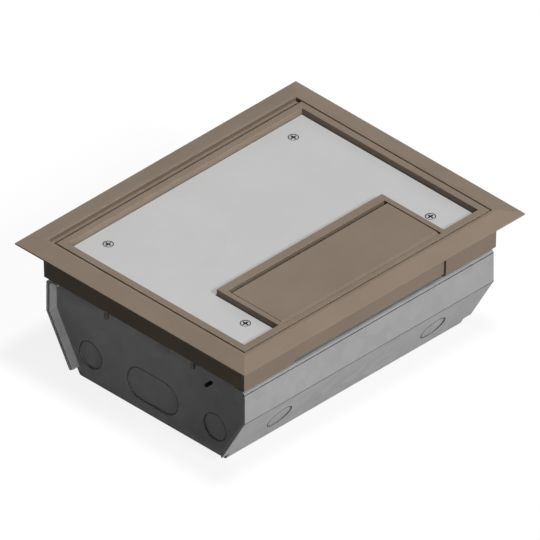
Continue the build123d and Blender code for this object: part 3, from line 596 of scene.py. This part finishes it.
def add_band(bm, middle, normal, straight, inner, outer, low, high):
    """Spin a square into a ring, pull its halves apart, and lay it on a face, in millimetres."""
    before = set(bm.verts)
    corners = [bm.verts.new((radius * MM, 0, z * MM))
               for radius, z in ((inner, low), (outer, low), (outer, high), (inner, high))]
    square = corners + [bm.edges.new(pair) for pair in zip(corners, corners[1:] + corners[:1])]
    half_step = Matrix.Rotation(pi / BAND_STEPS, 3, "Z")
    bmesh.ops.rotate(bm, verts=corners, cent=(0, 0, 0), matrix=half_step)
    bmesh.ops.spin(bm, geom=square, cent=(0, 0, 0), axis=(0, 0, 1), angle=2 * pi,
                   steps=BAND_STEPS, use_merge=True)
    ring = [vert for vert in bm.verts if vert not in before]
    for side in (1, -1):
        half = [vert for vert in ring if side * vert.co.x > 0]
        bmesh.ops.translate(bm, verts=half, vec=(side * straight * MM, 0, 0))
    across = Vector((0, 1, 0)) if abs(normal.x) > 0.5 else Vector((1, 0, 0))
    turn = Matrix((across, normal.cross(across), normal)).transposed().to_4x4()
    bmesh.ops.transform(bm, matrix=Matrix.Translation(middle) @ turn, verts=ring)


def knockout_lines(name, mounts):
    bm = bmesh.new()
    for mount in mounts:
        straight, radius = SIDE_BLANK if "side" in mount["name"] else ROUND_BLANK
        if "middle" in mount["name"]:
            straight, radius = OVAL_BLANK
        add_band(bm, Vector(mount["pos_m"]), Vector(mount["axis"]).normalized(), straight,
                 radius - BAND_HALF_WIDTH, radius + BAND_HALF_WIDTH, BAND_LOW, BAND_HIGH)
    bmesh.ops.recalc_face_normals(bm, faces=bm.faces)
    # Painted shade: the bands take the near-black shadow_gap finish.
    return dress(mesh_object(name, bm), "box", "galvanised_steel", finish=shadow_gap)


blanks = [mount for mount in record["mounts"] if mount["name"].startswith("knockout_")]
for place in ("left", "right", "side"):
    group = [mount for mount in blanks if ("side" in mount["name"]) == (place == "side")
             and (place == "side" or mount["name"].startswith("knockout_" + place))]
    print(knockout_lines("knockout_lines_" + place, group).name, "blanks:", len(group))

# %% [markdown]
# ## Screws
# The engineering model has plain screws. Here each head gets its own profile, a sunk
# cross and a thread. Spinning a profile about the screw's axis makes the body, as a lathe
# does. A cross-shaped face inset with some depth makes the recess, and a fill closes the
# top between the cross and the rim. Spinning a short ridge with a step down each time
# winds the thread.

# %% Find the screws of a node
def solids_of(node):
    """The lowest and highest corner of each separate solid in a node."""
    bm = bmesh.new()
    bm.from_mesh(nodes[node].data)
    bmesh.ops.remove_doubles(bm, verts=bm.verts, dist=MERGE)
    corners, seen = [], set()
    for start in bm.verts:
        if start in seen:
            continue
        places, queue = [], [start]
        seen.add(start)
        while queue:
            vert = queue.pop()
            places.append(vert.co.copy())
            for edge in vert.link_edges:
                other = edge.other_vert(vert)
                if other not in seen:
                    seen.add(other)
                    queue.append(other)
        corners.append([Vector([pick(place[i] for place in places) for i in range(3)])
                        for pick in (min, max)])
    bm.free()
    return corners


# %% Turn a screw
SIDES = 32
THREAD_SIDES = 20
CROSS_ARM = 0.26
CROSS_SLANT = 0.09
CROSS_DEPTH = 0.5
TINY = 1e-7


def spin_line(bm, middle, points, **motion):
    """Spin an open line of radii and heights in millimetres round an upright axis."""
    line = [bm.verts.new((middle.x + radius * MM, middle.y, z * MM)) for radius, z in points]
    edges = [bm.edges.new(pair) for pair in zip(line, line[1:])]
    bmesh.ops.spin(bm, geom=line + edges, cent=middle, axis=(0, 0, 1), **motion)


def add_body(bm, middle, profile):
    """Turn a closed shank and an open head, and return the edges of the head's rim."""
    before = set(bm.edges)
    spin_line(bm, middle, profile, angle=2 * pi, steps=SIDES, use_merge=True)
    return [edge for edge in bm.edges if edge not in before
            and all(abs(vert.co.z - profile[0][1] * MM) < TINY for vert in edge.verts)]


def add_cross(bm, middle, rim, top, reach, depth):
    """Close a head's top round a cross, and sink the cross, whose faces get painted shade."""
    arm = CROSS_ARM * reach
    quarter = [Vector((arm, arm, 0)), Vector((arm, reach, 0)), Vector((-arm, reach, 0))]
    centre = Vector((middle.x, middle.y, top * MM))
    outline = [bm.verts.new(centre + Matrix.Rotation(turn * pi / 2, 3, "Z") @ corner * MM)
               for turn in range(4) for corner in quarter]
    cross = bm.faces.new(outline)
    cross.normal_update()
    walls = bmesh.ops.inset_region(bm, faces=[cross], thickness=CROSS_SLANT * reach * MM,
                                   depth=-depth * MM, use_boundary=True,
                                   use_even_offset=True)["faces"]
    # Painted shade: the recess's faces take the second, near-black finish for the shade inside the
    # cross.
    for face in walls + [cross]:
        face.material_index = 1
    mouth = [edge for edge in bm.edges
             if edge.is_boundary and all(vert in outline for vert in edge.verts)]
    bmesh.ops.triangle_fill(bm, edges=rim + mouth, use_beauty=True, normal=(0, 0, 1))


def add_thread(bm, middle, root, crest, low, high, pitch):
    """Wind one ridge down a shank from high to low."""
    turns = int((high - low) / pitch)
    ridge = [(radius, high - drop * pitch)
             for radius, drop in ((root, 0.0), (crest, 0.3), (crest, 0.5), (root, 0.8))]
    spin_line(bm, middle, ridge, angle=2 * pi * turns, steps=turns * THREAD_SIDES,
              dvec=(0, 0, -pitch * MM / THREAD_SIDES))


# %% [markdown]
# A profile is a list of radii and heights from the head's rim down to the tip. The flat
# heads sit a hair below the sheet, and the straight-sided ones have a round top edge.

# %% The two kinds of head
THREAD_DEPTH = 0.28


def countersunk(top, bottom, head, shank):
    """A flat head that sits a hair below the sheet, with a soft rim."""
    root = shank - THREAD_DEPTH
    neck = top - head + shank
    return [(head - 0.42, top - 0.06), (head - 0.30, top - 0.16), (head - 0.30, top - 0.30),
            (shank, neck), (root, neck - 0.6), (root, bottom + 0.8), (root - 0.7, bottom),
            (0.0, bottom)]


def cheese(top, bottom, head, shank, height):
    """A straight-sided head with a round top edge."""
    root = shank - THREAD_DEPTH
    neck = top - height
    return [(head - 0.55, top), (head - 0.22, top - 0.10), (head - 0.04, top - 0.36),
            (head, top - 0.7), (head, neck), (shank, neck), (shank, neck - 0.6), (root, neck - 0.8),
            (root, bottom + 0.8), (root - 0.7, bottom), (0.0, bottom)]


# %% Make every screw
RUN_OUT = 1.0
THREAD_SUNK = 0.02
TIP = 0.9


def one_screw(low, high, head, shank, height, reach, thread_pitch, flat):
    """A mesh of a single screw: a small mesh spins much faster than one that keeps growing."""
    bm = bmesh.new()
    middle, top, bottom = (low + high) / 2, high.z / MM, low.z / MM
    if flat:
        profile = countersunk(top, bottom, head, shank)
        start = top - (head - shank + RUN_OUT)
    else:
        profile = cheese(top, bottom, head, shank, height)
        start = top - (height + RUN_OUT)
    rim = add_body(bm, middle, profile)
    add_cross(bm, middle, rim, profile[0][1], reach, CROSS_DEPTH * reach)
    root = shank - THREAD_DEPTH - THREAD_SUNK
    add_thread(bm, middle, root, shank, bottom + TIP, start, thread_pitch)
    mesh = bpy.data.meshes.new("one_screw")
    bm.to_mesh(mesh)
    bm.free()
    return mesh


def screws(node, *sizes):
    bm = bmesh.new()
    for low, high in solids_of(node):
        mesh = one_screw(low, high, *sizes)
        bm.from_mesh(mesh)
        bpy.data.meshes.remove(mesh)
    bmesh.ops.remove_doubles(bm, verts=bm.verts, dist=TINY)
    bmesh.ops.recalc_face_normals(bm, faces=bm.faces)
    for face in bm.faces:
        face.smooth = True
    # Painted shade: the clamp screws get the near-black steel that stands in for the shade they sit
    # in.
    finish = oiled_steel if node.startswith("clamp") else None
    piece = dress(mesh_object(node + "_cut", bm, sharp_above=40), body_of[node], slot_of[node],
                  node, finish=finish)
    # Painted shade: the second finish is the near-black one for the shade in the cross recess.
    piece.data.materials.append(shadow_gap)
    return piece


# node, head radius, shank radius, head height, reach of the cross, thread pitch, flat
for node, *sizes in (
        ("lid_plate_screws", 4.0, 2.0, 2.0, 2.8, 0.7, True),
        ("frame_screws", 4.0, 2.0, 2.0, 2.3, 0.9, True),
        ("socket_screws", 3.4, 1.75, 1.4, 1.9, 0.6, True),
        ("accessory_screws", 3.4, 1.75, 2.2, 2.0, 0.6, False),
        *[("clamp_screw_" + place, 3.5, 2.0, 2.5, 2.1, 0.8, False)
          for place in ("near_left", "far_left", "near_right", "far_right")]):
    made = screws(node, *sizes)
    print(made.name, "faces:", len(made.data.polygons))


# %% Painted shade rings round the lid's screws
RING_INNER, RING_OUTER, RING_LOW = 3.5, 4.3, -0.05


def screw_shade_rings():
    """Painted shade: a dark ring for the shade in the narrow gap between each flat head and its
    seat in the infill plate.
    """
    bm = bmesh.new()
    for low, high in solids_of("lid_plate_screws"):
        middle = Vector(((low.x + high.x) / 2, (low.y + high.y) / 2, high.z))
        add_band(bm, middle, Vector((0, 0, 1)), 0.0, RING_INNER, RING_OUTER, RING_LOW, 0.0)
    bmesh.ops.recalc_face_normals(bm, faces=bm.faces)
    return dress(mesh_object("lid_screw_gap_shade", bm), "lid", "steel_infill", finish=shadow_gap)


print("rings:", screw_shade_rings().name)

# %% [markdown]
# ## Contacts and switch marks
# With the lid open, the outlets show what they hold: pairs of brass blades deep in the
# pin slots, eight gold wires in each data outlet, and the red band that a rocker shows
# at the end that rises when it is off.

# %% Brass blades and gold wires
def add_bar(bm, low, high):
    made = bmesh.ops.create_cube(bm, size=1.0)["verts"]
    bmesh.ops.scale(bm, verts=made, vec=[(b - a) * MM for a, b in zip(low, high)])
    bmesh.ops.translate(bm, verts=made, vec=[(a + b) / 2 * MM for a, b in zip(low, high)])
    return made


PINS = ((-11.1, -11.1, True), (11.1, -11.1, True), (0.0, 11.1, False))
BLADE_LOW, BLADE_HIGH, BLADE_LIP = -23.2, -12.0, -16.0
BLADE_APART, BLADE_THICK, BLADE_LEAN = 2.0, 0.25, 0.5
LIVE_HALF, EARTH_HALF = 2.6, 3.2


def pin_contacts():
    """A pair of blades in each pin slot, with lips that lean in towards the pin."""
    bm = bmesh.new()
    for mount in record["mounts"]:
        if not mount["name"].startswith("mains_outlet_"):
            continue
        x, y, top = (value / MM for value in mount["pos_m"])
        for dx, dy, along_x in PINS:
            for side in (-1, 1):
                if along_x:
                    half = (LIVE_HALF, BLADE_THICK)
                    cx, cy = x + dx, y + dy + side * BLADE_APART
                    lean = Vector((0, -side * BLADE_LEAN * MM, 0))
                else:
                    half = (BLADE_THICK, EARTH_HALF)
                    cx, cy = x + dx + side * BLADE_APART, y + dy
                    lean = Vector((-side * BLADE_LEAN * MM, 0, 0))
                blade = add_bar(bm, (cx - half[0], cy - half[1], top + BLADE_LOW),
                                (cx + half[0], cy + half[1], top + BLADE_HIGH))
                lip = [vert for vert in blade if vert.co.z > (top + BLADE_LIP) * MM]
                bmesh.ops.translate(bm, verts=lip, vec=lean)
    bmesh.ops.bevel(bm, geom=bm.edges[:], offset=0.08 * MM, segments=1, profile=0.5,
                    affect="EDGES", material=-1)
    return dress(mesh_object("pin_contacts", bm), "box", "brass_fittings")


WIRES = 8
WIRE_PITCH, WIRE_HALF = 1.02, 0.18
WIRE_X = (-3.9, -3.6)
WIRE_Z = (-11.5, -3.5)
WIRE_BEND, WIRE_REACH = -8.0, 2.6


def data_wires():
    """Eight slanted spring wires in each data outlet."""
    bm = bmesh.new()
    for mount in record["mounts"]:
        if not mount["name"].startswith("data_outlet_"):
            continue
        x, y, top = (value / MM for value in mount["pos_m"])
        for number in range(WIRES):
            place = y + WIRE_PITCH * (number - (WIRES - 1) / 2)
            wire = add_bar(bm, (x + WIRE_X[0], place - WIRE_HALF, top + WIRE_Z[0]),
                           (x + WIRE_X[1], place + WIRE_HALF, top + WIRE_Z[1]))
            foot = [vert for vert in wire if vert.co.z < (top + WIRE_BEND) * MM]
            bmesh.ops.translate(bm, verts=foot, vec=(WIRE_REACH * MM, 0, 0))
    bmesh.ops.bevel(bm, geom=bm.edges[:], offset=0.05 * MM, segments=1, profile=0.5,
                    affect="EDGES", material=-1)
    return dress(mesh_object("data_wires", bm), "box", "brass_fittings", finish=gold_contacts)


print("contacts:", pin_contacts().name, data_wires().name)

# %% Red bands on the rockers
ROCKER_TILT = radians(6.0)
ROCKER_PIVOT_Z = 54.5
ROCKER_RISE = (4.6, 5.8)
ROCKER_HALF = 9.8
MARK_HALF_WIDTH = 4.4
MARK_Y = (6.6, 8.6)
MARK_Z = (-0.2, 0.07)


def rocker_band(side):
    """A red bar on the rocker's raised end, tilted about its pivot as the rocker is at rest."""
    node = "rocker_" + side
    low, high = (Vector(corner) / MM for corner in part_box(node))
    middle = (low.x + high.x) / 2
    bm = bmesh.new()
    band = add_bar(bm, (middle - MARK_HALF_WIDTH, MARK_Y[0], MARK_Z[0]),
                   (middle + MARK_HALF_WIDTH, MARK_Y[1], MARK_Z[1]))
    for vert in band:
        y, z = vert.co.y / MM, vert.co.z / MM
        z += ROCKER_RISE[0] + (ROCKER_RISE[1] - ROCKER_RISE[0]) * y / ROCKER_HALF
        vert.co.y = (y * cos(ROCKER_TILT) - z * sin(ROCKER_TILT)) * MM
        vert.co.z = (ROCKER_PIVOT_Z + y * sin(ROCKER_TILT) + z * cos(ROCKER_TILT)) * MM
    return dress(mesh_object(node + "_band", bm), body_of[node], "white_plastic", finish=switch_red)


print("bands:", [rocker_band(side).name for side in ("left", "right")])

# %% [markdown]
# ## Foam strip
# The strip under the flap's free edge is soft foam that closes round the cables. It is
# a long bar whose lower edges are rounded. Its top stays flat, glued to the flap.

# %% Round the foam strip
FOAM_ROUND = 1.4 * MM


def foam_strip():
    low, high = (Vector(corner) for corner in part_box("flap_foam"))
    size = high - low
    bm = bmesh.new()
    bmesh.ops.create_cube(bm, size=1.0)
    bmesh.ops.scale(bm, verts=bm.verts, vec=size)
    bmesh.ops.translate(bm, verts=bm.verts, vec=(low + high) / 2)
    middle = (low.z + high.z) / 2
    lower = [edge for edge in bm.edges if all(vert.co.z < middle for vert in edge.verts)]
    bmesh.ops.bevel(bm, geom=lower, offset=FOAM_ROUND, segments=4, profile=0.5,
                    affect="EDGES", material=-1)
    for face in bm.faces:
        face.smooth = True
    return mesh_object("foam_strip", bm, sharp_above=50)


strip = dress(foam_strip(), "flap", "foam", "flap_foam")
print("foam strip faces:", len(strip.data.polygons))

# %% Set the view transform
view = bpy.context.scene.view_settings
view.view_transform = "Standard"
